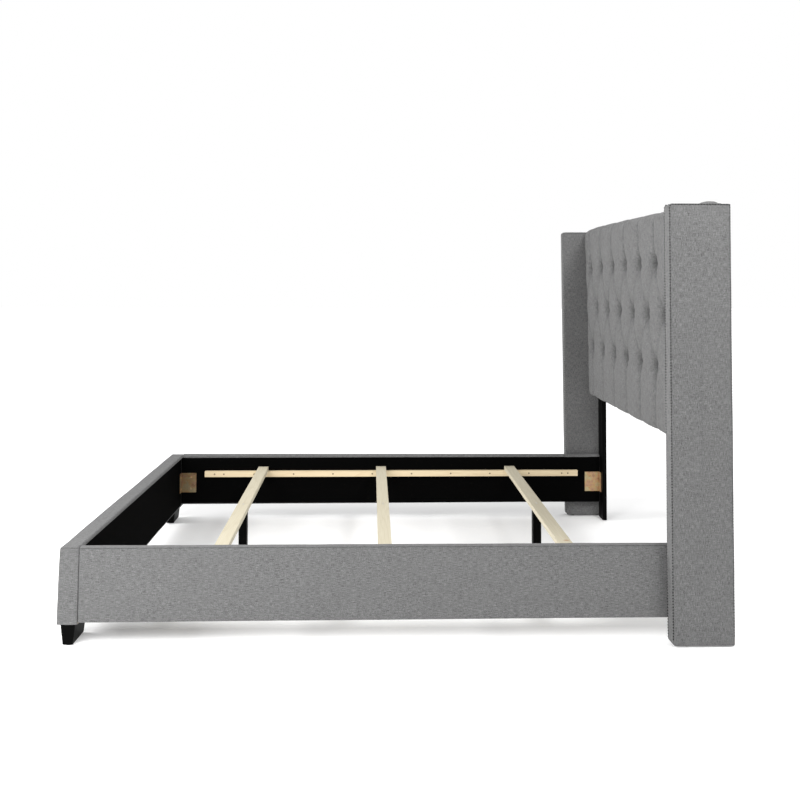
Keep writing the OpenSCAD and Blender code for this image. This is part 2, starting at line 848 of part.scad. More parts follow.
// flanged nuts in the bottoms of the centre legs
module tee_nuts() {
    color("silver") for (i = [0 : 2]) at_slat(i) difference() {
        union() {
            rod_z([0, 0, centre_leg_base - tee_flange_t - slat_z1], tee_flange_d, tee_flange_t);
            rod_z([0, 0, centre_leg_base - tee_flange_t - slat_z1], tee_barrel_d,
                  tee_flange_t + tee_barrel_h);
        }
        rod_z([0, 0, centre_leg_base - tee_flange_t - through - slat_z1],
              level_stem_d + 2 * level_clear, tee_flange_t + tee_barrel_h + 2 * through);
    }
}

// threaded stem of a levelling foot, with the hexagon that a spanner turns; its end
// sits in the pad's socket
module level_stem(i) {
    color("silver") translate([foot_x1 + slat_places[i], 0, 0]) {
        rod_z([0, 0, level_seat_z], level_stem_d, level_stem_top - level_seat_z);
        translate([0, 0, level_pad_h + level_clear])
            cylinder(d = level_nut_af / cos(30), h = level_nut_h, $fn = 6);
    }
}

module level_stem_foot() { level_stem(0); }
module level_stem_middle() { level_stem(1); }
module level_stem_head() { level_stem(2); }

// round plastic pad on the floor
module level_pad(i) {
    color("dimgray") translate([foot_x1 + slat_places[i], 0, 0]) difference() {
        rod_z([0, 0, 0], level_pad_d, level_pad_h);
        rod_z([0, 0, level_seat_z - level_clear], level_stem_d + 2 * level_clear, level_pad_h);
    }
}

module level_pad_foot() { level_pad(0); }
module level_pad_middle() { level_pad(1); }
module level_pad_head() { level_pad(2); }

headboard_board();
headboard_top_batten();
headboard_bottom_batten();
headboard_middle_stile();
headboard_foam();
headboard_cover();
headboard_dust_cover();
tuft_buttons();
button_ties();
button_anchors();
headboard_leg_left();
headboard_leg_right();
wing_frame_left();
wing_frame_right();
wing_padding_left();
wing_padding_right();
wing_cover_left();
wing_cover_right();
wing_bolts();
wing_barrel_nuts();
wing_glides();
rail_board_left();
rail_board_right();
rail_padding_left();
rail_padding_right();
rail_cover_left();
rail_cover_right();
rail_liner_left();
rail_liner_right();
ledger_left();
ledger_right();
ledger_screws();
bracket_foot_left();
bracket_foot_right();
bracket_head_left();
bracket_head_right();
bracket_bolts();
footboard_frame();
footboard_padding();
footboard_cover();
footboard_liner();
foot_leg_left();
foot_leg_right();
foot_leg_bolts();
leg_glides();
slat_foot();
slat_middle();
slat_head();
slat_screws();
centre_leg_foot();
centre_leg_middle();
centre_leg_head();
centre_leg_screws();
tee_nuts();
level_stem_foot();
level_stem_middle();
level_stem_head();
level_pad_foot();
level_pad_middle();
level_pad_head();
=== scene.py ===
"""Upholstered wing-back bed: the looks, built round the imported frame. Metres throughout."""
import json
import math

import bpy
import numpy as np
from mathutils import Matrix, Vector


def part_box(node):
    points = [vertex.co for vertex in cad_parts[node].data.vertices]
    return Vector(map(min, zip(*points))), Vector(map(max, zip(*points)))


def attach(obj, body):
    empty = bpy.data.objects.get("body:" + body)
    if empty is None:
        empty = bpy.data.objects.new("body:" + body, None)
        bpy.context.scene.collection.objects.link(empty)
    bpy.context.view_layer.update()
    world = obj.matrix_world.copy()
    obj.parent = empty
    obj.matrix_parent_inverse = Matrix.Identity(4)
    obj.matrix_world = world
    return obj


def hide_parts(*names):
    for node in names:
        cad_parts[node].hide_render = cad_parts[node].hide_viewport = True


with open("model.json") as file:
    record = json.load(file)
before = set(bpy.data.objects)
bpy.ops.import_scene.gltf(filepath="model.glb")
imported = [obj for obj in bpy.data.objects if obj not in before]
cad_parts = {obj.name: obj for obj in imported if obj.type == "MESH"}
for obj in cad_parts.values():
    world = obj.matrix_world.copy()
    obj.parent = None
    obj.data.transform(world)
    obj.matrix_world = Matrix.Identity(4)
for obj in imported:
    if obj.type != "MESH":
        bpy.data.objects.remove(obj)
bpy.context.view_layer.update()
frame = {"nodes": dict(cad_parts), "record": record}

MM = 0.001
ROOT = "frame"


# ---- camera, as the bed was photographed ------------------------------------

def add_camera():
    place = (-0.0835, -3.8486, 1.1764)
    yaw, pitch, roll = (math.radians(a) for a in (1.2289, 1.7752, -0.0664))
    focal_mm, sensor_mm = 41.18, 36.0
    shift = (0.0106, -0.1804)
    forward = np.array([math.sin(yaw) * math.cos(pitch), math.cos(yaw) * math.cos(pitch),
                        math.sin(pitch)])
    right = np.array([math.cos(yaw), -math.sin(yaw), 0.0])
    up = np.cross(right, forward)
    side = right * math.cos(roll) - up * math.sin(roll)
    top = right * math.sin(roll) + up * math.cos(roll)
    data = bpy.data.cameras.new("camera")
    data.lens, data.sensor_width = focal_mm, sensor_mm
    data.shift_x, data.shift_y = shift
    data.clip_start, data.clip_end = 0.05, 200.0
    camera = bpy.data.objects.new("camera", data)
    rotation = Matrix([list(row) for row in np.column_stack([side, top, -forward])])
    camera.matrix_world = Matrix.Translation(place) @ rotation.to_4x4()
    bpy.context.scene.collection.objects.link(camera)
    bpy.context.scene.camera = camera


# ---- node materials -----------------------------------------------------------

class Shader:
    """A material with a Principled shader, and short ways to add nodes to it."""

    def __init__(self, name, **sockets):
        self.material = bpy.data.materials.new(name)
        self.material.use_nodes = True
        self.tree = self.material.node_tree
        self.principled = self.tree.nodes["Principled BSDF"]
        for key, value in sockets.items():
            self.principled.inputs[key.replace("_", " ")].default_value = value
        self.coords = self.add("ShaderNodeTexCoord")

    def add(self, kind, inputs=(), **settings):
        made = self.tree.nodes.new(kind)
        for key, value in settings.items():
            setattr(made, key, value)
        for key, value in dict(inputs).items():
            self.feed(made.inputs[key], value)
        return made

    def feed(self, socket, value):
        if isinstance(value, bpy.types.NodeSocket):
            self.tree.links.new(value, socket)
        else:
            socket.default_value = value

    def math(self, operation, *values):
        made = self.add("ShaderNodeMath", operation=operation)
        for i, value in enumerate(values):
            self.feed(made.inputs[i], value)
        return made.outputs[0]

    def vector(self, x, y, z=0.0):
        return self.add("ShaderNodeCombineXYZ", {"X": x, "Y": y, "Z": z}).outputs[0]

    def noise(self, vector, scale, detail=2.0, roughness=0.5):
        made = self.add("ShaderNodeTexNoise", {"Vector": vector, "Scale": scale, "Detail": detail,
                                               "Roughness": roughness})
        return made.outputs["Fac"]

    def spread(self, value, low, high, to_low=0.0, to_high=1.0):
        made = self.add("ShaderNodeMapRange", {"Value": value, "From Min": low, "From Max": high,
                                               "To Min": to_low, "To Max": to_high})
        return made.outputs["Result"]

    def weighted(self, parts):
        """Sum of noises about their middle value, each with its weight."""
        total = None
        for value, weight in parts:
            term = self.math("MULTIPLY_ADD", value, weight, -0.5 * weight)
            total = term if total is None else self.math("ADD", total, term)
        return total

    def blend(self, factor, first, second, mode="MIX"):
        made = self.add("ShaderNodeMix", data_type="RGBA", blend_type=mode)
        self.feed(made.inputs[0], factor)
        self.feed(made.inputs[6], first)
        self.feed(made.inputs[7], second)
        return made.outputs[2]

    def grey(self, value):
        return self.add("ShaderNodeCombineColor", {"Red": value, "Green": value,
                                                   "Blue": value}).outputs[0]

    def colour(self, value):
        self.feed(self.principled.inputs["Base Color"], value)

    def rough(self, value):
        self.feed(self.principled.inputs["Roughness"], value)

    def bump(self, height, distance, strength=1.0):
        made = self.add("ShaderNodeBump", {"Height": height, "Distance": distance,
                                           "Strength": strength})
        self.feed(self.principled.inputs["Normal"], made.outputs[0])

    def plane_axes(self):
        """Two coordinates that lie in the surface: along it, and up it where it is upright."""
        place = self.add("ShaderNodeSeparateXYZ", {0: self.coords.outputs["Object"]}).outputs
        normal = self.add("ShaderNodeSeparateXYZ", {0: self.coords.outputs["Normal"]}).outputs
        size = [self.math("ABSOLUTE", normal[i]) for i in range(3)]
        faces_x = self.math("MULTIPLY", self.math("GREATER_THAN", size[0], size[1]),
                            self.math("GREATER_THAN", size[0], size[2]))
        faces_z = self.math("MULTIPLY", self.math("GREATER_THAN", size[2], size[0]),
                            self.math("GREATER_THAN", size[2], size[1]))
        along = self.spread(faces_x, 0.0, 1.0, place[0], place[1])
        up = self.spread(faces_z, 0.0, 1.0, place[2], place[1])
        return along, up


def opaque(r, g, b):
    return (r, g, b, 1.0)


def linen(name, mottle, upright, level):
    """Mid-grey heathered weave: uneven yarns both ways and fine flecks, with painted shade where a
    piece's mesh marks seam grooves, folds and dimples.
    mottle is the strength of the patches and long slubs that show on a large panel, and
    upright and level are those of the yarns that run up and along."""
    tone, painted_shade_strength, yarn = 0.137, 0.72, 1.3 * MM
    m = Shader(name, Roughness=0.92, Sheen_Weight=0.06, Sheen_Roughness=0.5,
               Specular_IOR_Level=0.15)
    along, up = m.plane_axes()
    place = m.coords.outputs["Object"]

    def streaks(per_along, per_up, offset):
        return m.noise(m.vector(m.math("MULTIPLY", along, per_along),
                                m.math("MULTIPLY", up, per_up), offset), 1.0)

    flecks = m.noise(place, 620.0, 3.0, 0.7)
    parts = ((flecks, 2.4),
             (streaks(560.0, 60.0, 0.0), upright), (streaks(60.0, 560.0, 2.0), level),
             (streaks(230.0, 20.0, 4.0), 0.12 + mottle), (streaks(20.0, 230.0, 9.0), 0.36),
             (m.noise(place, 62.0, 1.0), mottle), (m.noise(place, 9.0, 1.0), 0.10))
    uneven = m.weighted(parts)
    # painted shade: a per-point attribute darkens the linen in seam grooves, folds and dimples
    crease_and_painted_shade = m.add("ShaderNodeAttribute", attribute_name="crease_and_painted_shade").outputs["Fac"]
    value = m.math("MULTIPLY", m.math("MULTIPLY_ADD", uneven, tone, tone),
                   m.math("MULTIPLY_ADD", crease_and_painted_shade, -painted_shade_strength, 1.0))
    m.colour(m.grey(value))
    # plain weave: warp and weft pass over each other in turn
    turn = math.pi / yarn
    over = m.math("MULTIPLY", m.math("SINE", m.math("MULTIPLY", along, turn)),
                  m.math("SINE", m.math("MULTIPLY", up, turn)))
    m.bump(m.math("MULTIPLY_ADD", over, 0.5, uneven), 0.5 * MM, 0.6)
    return m.material


# the stitches are real thread, and their near-black colour also stands for the shade in the needle
# holes and puckers between them: painted shade
def thread_and_painted_shade():
    m = Shader("seam_thread_and_painted_shade", Roughness=0.85, Specular_IOR_Level=0.1)
    twist = m.noise(m.coords.outputs["Object"], 900.0, 1.0)
    m.colour(m.grey(m.spread(twist, 0.3, 0.7, 0.012, 0.03)))
    m.bump(twist, 0.2 * MM, 0.5)
    return m.material


def pine(name, length_axis, pale, dark):
    """Planed pine with its grain along one axis (0 = X, 1 = Y, 2 = Z)."""
    m = Shader(name, Roughness=0.6, Specular_IOR_Level=0.2)
    place = m.add("ShaderNodeSeparateXYZ", {0: m.coords.outputs["Object"]}).outputs
    stretch = [9.0, 9.0, 9.0]
    stretch[length_axis] = 0.55
    grain_at = m.vector(*[m.math("MULTIPLY", place[i], stretch[i]) for i in range(3)])
    warped = m.noise(grain_at, 1.6, 2.0)
    rings = m.math("FRACT", m.math("ADD", m.math("MULTIPLY", warped, 13.0),
                                   m.math("MULTIPLY", place[(length_axis + 1) % 2], 9.0)))
    late = m.math("POWER", rings, 4.0)
    fibre_stretch = [520.0, 520.0, 520.0]
    fibre_stretch[length_axis] = 9.0
    fibre_at = m.vector(*[m.math("MULTIPLY", place[i], fibre_stretch[i]) for i in range(3)])
    fibre = m.noise(fibre_at, 1.0, 2.0)
    base = m.blend(m.math("MULTIPLY", late, 0.4), pale, dark)
    base = m.blend(m.spread(fibre, 0.35, 0.75, 0.0, 0.4), base, dark)
    knots = m.add("ShaderNodeTexVoronoi", {"Vector": m.coords.outputs["Object"], "Scale": 3.1})
    knot = m.spread(knots.outputs["Distance"], 0.03, 0.05, 1.0, 0.0)
    base = m.blend(m.math("MULTIPLY", knot, 0.7), base, opaque(0.36, 0.21, 0.11))
    m.colour(base)
    m.rough(m.spread(fibre, 0.3, 0.7, 0.48, 0.66))
    m.bump(m.math("ADD", fibre, m.math("MULTIPLY", late, 0.5)), 0.25 * MM, 0.5)
    return m.material


def plywood():
    m = Shader("plywood", Roughness=0.7)
    place = m.add("ShaderNodeSeparateXYZ", {0: m.coords.outputs["Object"]}).outputs
    at = m.vector(m.math("MULTIPLY", place[0], 3.0), m.math("MULTIPLY", place[1], 3.0),
                  m.math("MULTIPLY", place[2], 40.0))
    grain = m.noise(at, 3.0, 3.0)
    m.colour(m.blend(m.spread(grain, 0.3, 0.7), opaque(0.68, 0.51, 0.32),
                     opaque(0.50, 0.34, 0.19)))
    m.bump(grain, 0.4 * MM, 0.5)
    return m.material


def foam():
    m = Shader("foam", Roughness=0.95)
    cells = m.noise(m.coords.outputs["Object"], 700.0, 2.0)
    m.colour(m.blend(cells, opaque(0.88, 0.80, 0.58), opaque(0.76, 0.68, 0.47)))
    m.bump(cells, 0.8 * MM, 0.7)
    return m.material


def black_paint():
    """Satin black paint over wood, with a faint grain."""
    m = Shader("black_paint", Roughness=0.55, Specular_IOR_Level=0.03)
    place = m.add("ShaderNodeSeparateXYZ", {0: m.coords.outputs["Object"]}).outputs
    at = m.vector(m.math("MULTIPLY", place[0], 220.0), m.math("MULTIPLY", place[1], 220.0),
                  m.math("MULTIPLY", place[2], 9.0))
    grain = m.noise(at, 1.0, 3.0)
    m.colour(m.grey(m.spread(grain, 0.3, 0.8, 0.0008, 0.002)))
    m.rough(m.spread(grain, 0.3, 0.7, 0.36, 0.52))
    m.bump(grain, 0.15 * MM, 0.5)
    return m.material


def black_cloth():
    """Non-woven lining: matt, with a faint point-bonded grid."""
    m = Shader("black_cloth", Roughness=1.0, Specular_IOR_Level=0.02)
    along, up = m.plane_axes()
    dots = m.math("MULTIPLY", m.math("SINE", m.math("MULTIPLY", along, 2100.0)),
                  m.math("SINE", m.math("MULTIPLY", up, 2100.0)))
    fibres = m.noise(m.coords.outputs["Object"], 600.0, 3.0, 0.7)
    m.colour(m.grey(m.spread(fibres, 0.3, 0.7, 0.0008, 0.0026)))
    m.bump(m.math("ADD", fibres, m.math("MULTIPLY", dots, 0.3)), 0.3 * MM, 0.6)
    return m.material


def zinc():
    m = Shader("zinc", Metallic=1.0, Roughness=0.35)
    blotch = m.noise(m.coords.outputs["Object"], 260.0, 2.0)
    m.colour(m.grey(m.spread(blotch, 0.3, 0.7, 0.50, 0.66)))
    m.rough(m.spread(blotch, 0.3, 0.7, 0.28, 0.44))
    return m.material


def yellow_zinc(name, tone):
    """Yellow-passivated zinc: brownish gold that drifts to pink and green."""
    # tone scales every colour; the copy at a low tone is painted shade
    m = Shader(name, Metallic=0.75, Roughness=0.45)
    drift = m.noise(m.coords.outputs["Object"], 34.0, 3.0, 0.6)
    fine = m.noise(m.coords.outputs["Object"], 260.0, 2.0)
    ramp = m.add("ShaderNodeValToRGB", {"Fac": drift})
    stops = ramp.color_ramp.elements
    stops[0].position, stops[0].color = 0.30, opaque(0.36 * tone, 0.23 * tone, 0.10 * tone)
    stops[1].position, stops[1].color = 0.72, opaque(0.62 * tone, 0.43 * tone, 0.24 * tone)
    for position, r, g, b in ((0.42, 0.55, 0.31, 0.20), (0.50, 0.58, 0.37, 0.16),
                              (0.60, 0.50, 0.43, 0.25)):
        stops.new(position).color = opaque(r * tone, g * tone, b * tone)
    m.colour(m.blend(m.spread(fine, 0.45, 0.75, 0.0, 0.5), ramp.outputs[0],
                     opaque(0.72 * tone, 0.57 * tone, 0.38 * tone)))
    m.rough(m.spread(fine, 0.3, 0.7, 0.36, 0.56))
    m.bump(fine, 0.15 * MM, 0.5)
    return m.material


def bronzed():
    """Wood screws with a dark bronze finish."""
    m = Shader("bronzed", Metallic=0.6, Roughness=0.6)
    blotch = m.noise(m.coords.outputs["Object"], 400.0, 2.0)
    m.colour(m.blend(blotch, opaque(0.16, 0.12, 0.08), opaque(0.30, 0.24, 0.16)))
    return m.material


def black_plastic():
    m = Shader("black_plastic", Roughness=0.5)
    grain = m.noise(m.coords.outputs["Object"], 900.0, 1.0)
    m.colour(m.grey(m.spread(grain, 0.3, 0.7, 0.018, 0.03)))
    m.bump(grain, 0.1 * MM, 0.4)
    return m.material


def twine():
    m = Shader("twine", Roughness=0.8)
    strands = m.noise(m.coords.outputs["Object"], 800.0, 2.0)
    m.colour(m.blend(strands, opaque(0.78, 0.70, 0.55), opaque(0.60, 0.52, 0.38)))
    m.bump(strands, 0.3 * MM, 0.6)
    return m.material


MATERIALS = {
    "linen": linen("linen", 0.05, 0.7, 1.6), "foam": foam(), "plywood": plywood(),
    "black_cloth": black_cloth(), "twine": twine(), "black_wood": black_paint(), "zinc": zinc(),
    "yellow_zinc": yellow_zinc("yellow_zinc", 0.82), "black_plastic": black_plastic(),
}
PINE_ALONG = [pine("pine_x", 0, opaque(0.72, 0.60, 0.40), opaque(0.58, 0.44, 0.26)),
              pine("pine_y", 1, opaque(0.55, 0.505, 0.39), opaque(0.44, 0.385, 0.27)),
              pine("pine_z", 2, opaque(0.66, 0.56, 0.39), opaque(0.52, 0.40, 0.25))]
THREAD_AND_PAINTED_SHADE = thread_and_painted_shade()
WING_LINEN = linen("wing_linen", 0.05, 1.5, 1.0)
PANEL_LINEN = linen("panel_linen", 0.34, 1.5, 1.0)
BRONZED = bronzed()
# painted shade: the brackets at the foot take the yellow zinc at a lower tone
SHADED_YELLOW_ZINC = yellow_zinc("shaded_yellow_zinc", 0.5)


def dress_cad_nodes():
    """Every CAD node gets its slot's material, and pine the one whose grain runs its way.
    Wood screws are bronzed, the brackets' bolts are plated like the brackets, and the brackets at
    the foot get a darker copy of the plating, which is painted shade."""
    slots = {row["node"]: row["material_slot"] for row in frame["record"]["subparts"]}
    for node, slot_name in slots.items():
        low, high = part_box(node)
        if slot_name == "pine":
            size = [high[i] - low[i] for i in range(3)]
            material = PINE_ALONG[size.index(max(size))]
        elif node == "bracket_bolts":
            material = MATERIALS["yellow_zinc"]
        elif node.startswith("bracket_foot"):
            material = SHADED_YELLOW_ZINC
        elif node in ("ledger_screws", "slat_screws"):
            material = BRONZED
        else:
            material = MATERIALS[slot_name]
        for place in frame["nodes"][node].material_slots:
            place.material = material


# ---- mesh helpers -------------------------------------------------------------

def ripple(points, size, seed, waves=9):
    """Smooth random value from about -1 to 1 at each point, with bumps of a given size."""
    rng = np.random.default_rng(seed)
    turn = rng.normal(size=(waves, 3))
    turn /= np.linalg.norm(turn, axis=1)[:, None]
    turn *= (2 * math.pi / size / rng.uniform(0.7, 1.6, waves))[:, None]
    return np.sin(points @ turn.T + rng.uniform(0, 2 * math.pi, waves)).sum(1) / math.sqrt(waves)


def piece(name, points, faces, material, replaces=(), crease_and_painted_shade=None):
    mesh = bpy.data.meshes.new(name)
    mesh.from_pydata(np.asarray(points).tolist(), [], faces)
    mesh.materials.append(material)
    # per-point painted shade, stored for the linen to darken by
    if crease_and_painted_shade is not None:
        mesh.attributes.new("crease_and_painted_shade", "FLOAT", "POINT").data.foreach_set("value", crease_and_painted_shade)
    mesh.shade_smooth()
    made = bpy.data.objects.new(name, mesh)
    bpy.context.scene.collection.objects.link(made)
    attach(made, ROOT)
    if replaces:
        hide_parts(*replaces)


def loft_faces(rings, around):
    """Quads between closed rings of equal length, and a face at each end."""
    faces = []
    for r in range(rings - 1):
        a, b = r * around, (r + 1) * around
        faces += [(a + i, a + (i + 1) % around, b + (i + 1) % around, b + i)
                  for i in range(around)]
    faces.append(tuple(reversed(range(around))))
    faces.append(tuple((rings - 1) * around + i for i in range(around)))
    return faces


def outward(points, faces):
    """The faces, turned round if they look inwards."""
    p = np.asarray(points)
    middle = p.mean(0)
    total = 0.0
    for f in faces[:: max(1, len(faces) // 2000)]:
        a, b, c = p[f[0]], p[f[1]], p[f[2]]
        total += float(np.dot(np.cross(b - a, c - a), a - middle))
    return faces if total > 0 else [tuple(reversed(f)) for f in faces]


def graded(length, coarse, fine=1.2 * MM, reach=7 * MM):
    """Distances along an edge: fine steps near both ends and coarse ones between."""
    near = np.arange(0, reach, fine)
    middle = np.linspace(reach, length - reach,
                         max(2, round((length - 2 * reach) / coarse) + 1))
    return np.concatenate([near, middle, (length - near)[::-1]])


def rounded_outline(corners, radii, inset, edges, arc_steps=6):
    """Points round a convex outline (counter-clockwise) moved in by inset, corners rounded.
    edges holds each edge's stations as shares from 0 to 1, so that every inset has as many."""
    corners = np.asarray(corners, float)
    count = len(corners)
    step = np.roll(corners, -1, 0) - corners
    step /= np.linalg.norm(step, axis=1)[:, None]
    inward = np.column_stack([-step[:, 1], step[:, 0]])
    moved = []
    for i in range(count):
        before, after = (i - 1) % count, i
        a = corners[i] + inward[before] * inset
        b = corners[i] + inward[after] * inset
        cross = step[before][0] * step[after][1] - step[before][1] * step[after][0]
        gap = b - a
        moved.append(a + step[before] * (gap[0] * step[after][1] - gap[1] * step[after][0]) / cross)
    starts, ends, points = [], [], []
    for i in range(count):
        before, after = (i - 1) % count, i
        turn = math.acos(np.clip(np.dot(step[before], step[after]), -1, 1))
        radius = max(radii[i] - inset, 0.3 * MM)
        back = radius * math.tan(turn / 2)
        start = moved[i] - step[before] * back
        centre = start + inward[before] * radius
        first = math.atan2(*(start - centre)[::-1])
        arc = [centre + radius * np.array([math.cos(first + turn * k / arc_steps),
                                           math.sin(first + turn * k / arc_steps)])
               for k in range(arc_steps + 1)]
        starts.append(arc[0])
        ends.append(arc[-1])
        points.append(arc)
    out = []
    for i in range(count):
        out += points[i]
        shares = edges[i][1:-1]
        out += [ends[i] + (starts[(i + 1) % count] - ends[i]) * s for s in shares]
    return np.array(out)


def edge_shares(corners, coarse):
    """Stations along each edge of an outline as shares, close together near its ends."""
    corners = np.asarray(corners, float)
    out = []
    for i in range(len(corners)):
        length = float(np.linalg.norm(corners[(i + 1) % len(corners)] - corners[i]))
        if length < 20 * MM:
            out.append(np.linspace(0, 1, 6))
        else:
            out.append(graded(length, coarse) / length)
    return out


def slab(corners, radii, width, edge_r, coarse, deepest, line):
    """An outline extruded over a width, with rounded edges and sides closed by rings that
    shrink to a line. Returns outline points, positions across the width, distances in from
    the outline, and the count round one ring."""
    shares = edge_shares(corners, coarse)
    base = rounded_outline(corners, radii, deepest, shares)
    a, b = (np.array(v) for v in line)
    along = np.clip((base - a) @ (b - a) / np.dot(b - a, b - a), 0, 1)
    middle = a + along[:, None] * (b - a)
    reach = float(np.linalg.norm(base - middle, axis=1).min())
    stations = [(base + (middle - base) * share, 0.0, deepest + reach * share)
                for share in np.linspace(0.97, 0.0, max(3, round(reach / coarse)))]
    near = [edge_r + v * MM for v in (7.5, 4.5, 2.8, 2.0, 1.2, 0.5)]
    between = np.arange(deepest - coarse, near[0] + coarse / 2, -coarse)
    insets = list(between) + [v for v in near if v < deepest]
    stations += [(rounded_outline(corners, radii, v, shares), 0.0, v) for v in insets]
    for k in range(6):
        a = math.pi / 2 * k / 5
        inset = edge_r * (1 - math.sin(a))
        stations.append((rounded_outline(corners, radii, inset, shares),
                         edge_r * (1 - math.cos(a)), inset))
    side = len(stations)
    outline = stations[-1][0]
    stations += [(outline, edge_r + v, 0.0) for v in graded(width - 2 * edge_r, coarse)[1:-1]]
    stations += [(ring, width - at, inset) for ring, at, inset in reversed(stations[:side])]
    around = len(base)
    return (np.concatenate([ring for ring, _, _ in stations]),
            np.repeat([at for _, at, _ in stations], around),
            np.repeat([inset for _, _, inset in stations], around), around)


def mesh_normals(points, faces):
    """Area-weighted vertex normals of quads and larger faces (first three corners used)."""
    quads = np.array([f[:4] for f in faces if len(f) == 4])
    p = points[quads]
    face_normal = np.cross(p[:, 2] - p[:, 0], p[:, 3] - p[:, 1])
    out = np.zeros_like(points)
    for k in range(4):
        np.add.at(out, quads[:, k], face_normal)
    return out / np.maximum(np.linalg.norm(out, axis=1), 1e-12)[:, None]


# ---- tufted headboard -----------------------------------------------------------

BUTTON_R = 11 * MM
BUTTON_IN = 32 * MM      # how deep the cover lies at a button
BUTTON_ROWS = 3
DIMPLE_R = 26 * MM       # how fast a dimple grows shallow outside its button
PUFF = 5 * MM            # the pads between the folds stand this far proud
SLOPING_FOLD = (19 * MM, 8 * MM, 19 * MM)   # depth at its start, middle and end
SHALLOW_END = 4 * MM     # where a sloping fold meets the panel's side instead of a button
UPRIGHT_FOLD = (21 * MM, 13 * MM, 9 * MM)
SLOPING_HALF, UPRIGHT_HALF = 62 * MM, 42 * MM
DROOP = 6.4 * MM         # the top edge's fall in a metre, towards the right end
END_DROOP, END_REACH = 5.5 * MM, 110 * MM   # and at the left end
HANG = 3.5 * MM          # the bottom edge hangs this far down
END_BACK = 19 * MM       # the left end's lowest corner stands back by this much


def button_places():
    """Centres of the buttons (y, z), read from the CAD buttons' own solids."""
    node = frame["nodes"]["tuft_buttons"]
    points = np.array([v.co for v in node.data.vertices])
    low, high = points.min(0), points.max(0)
    rows = np.linspace(low[2] + BUTTON_R, high[2] - BUTTON_R, BUTTON_ROWS)
    out = []
    for z in rows:
        ys = np.sort(points[np.abs(points[:, 2] - z) < BUTTON_R][:, 1])
        breaks = np.where(np.diff(ys) > 50 * MM)[0]
        groups = np.split(ys, breaks + 1)
        out += [(float((g[0] + g[-1]) / 2), float(z)) for g in groups]
    return out


def fold_lines(buttons, low, high):
    """Folds of the tufting: (start, end, depth at start, middle and end, half width)."""
    rows = sorted({round(z, 4) for _, z in buttons})
    by_row = [sorted(y for y, z in buttons if abs(z - row) < MM) for row in rows]
    pitch = by_row[0][1] - by_row[0][0]
    folds = []
    for outer in (0, 2):
        for y in by_row[outer]:
            for side in (-1, 1):
                other = y + side * pitch / 2
                at_side = abs(other) > max(by_row[1]) + pitch / 4
                depths = SLOPING_FOLD[:2] + (SHALLOW_END,) if at_side else SLOPING_FOLD
                folds.append(((y, rows[outer]), (other, rows[1]), depths, SLOPING_HALF))
    past_edge = 40 * MM
    for row, end in ((2, high[2] + past_edge), (0, low[2] - past_edge)):
        folds += [((y, rows[row]), (y, end), UPRIGHT_FOLD, UPRIGHT_HALF) for y in by_row[row]]
    return folds


def tuft_depth(y, z, buttons, folds):
    """How far the cover is drawn in behind its front plane at (y, z). Folds and dimples are
    joined by a power mean, which is smooth where they meet."""
    power, blunt = 3.0, 0.03
    total = np.zeros_like(y)
    for (y0, z0), (y1, z1), (d0, dm, d1), width in folds:
        span = np.array([y1 - y0, z1 - z0])
        length = float(np.hypot(*span))
        t = np.clip(((y - y0) * span[0] + (z - z0) * span[1]) / length ** 2, 0, 1)
        away = np.hypot(y - (y0 + t * span[0]), z - (z0 + t * span[1]))
        near, far = np.clip(1 - 2 * t, 0, 1) ** 1.8, np.clip(2 * t - 1, 0, 1) ** 1.8
        depth = dm + (d0 - dm) * near + (d1 - dm) * far
        share = np.clip(np.sqrt((away / width) ** 2 + blunt ** 2) - blunt, 0, 1)
        total += (depth * (1 - share) ** 2) ** power
    for i, (yb, zb) in enumerate(buttons):
        away = np.hypot(y - yb, z - zb)
        angle = np.arctan2(z - zb, y - yb)
        pucker = 1 + 0.07 * np.sin((7 + i % 4) * angle + 1.7 * i) * np.clip(
            away / (20 * MM), 0, 1)
        reach = np.clip(away * pucker - BUTTON_R * 0.85, 0, None) / DIMPLE_R
        total += (BUTTON_IN * np.exp(-reach ** 1.1)) ** power
    return total ** (1 / power)


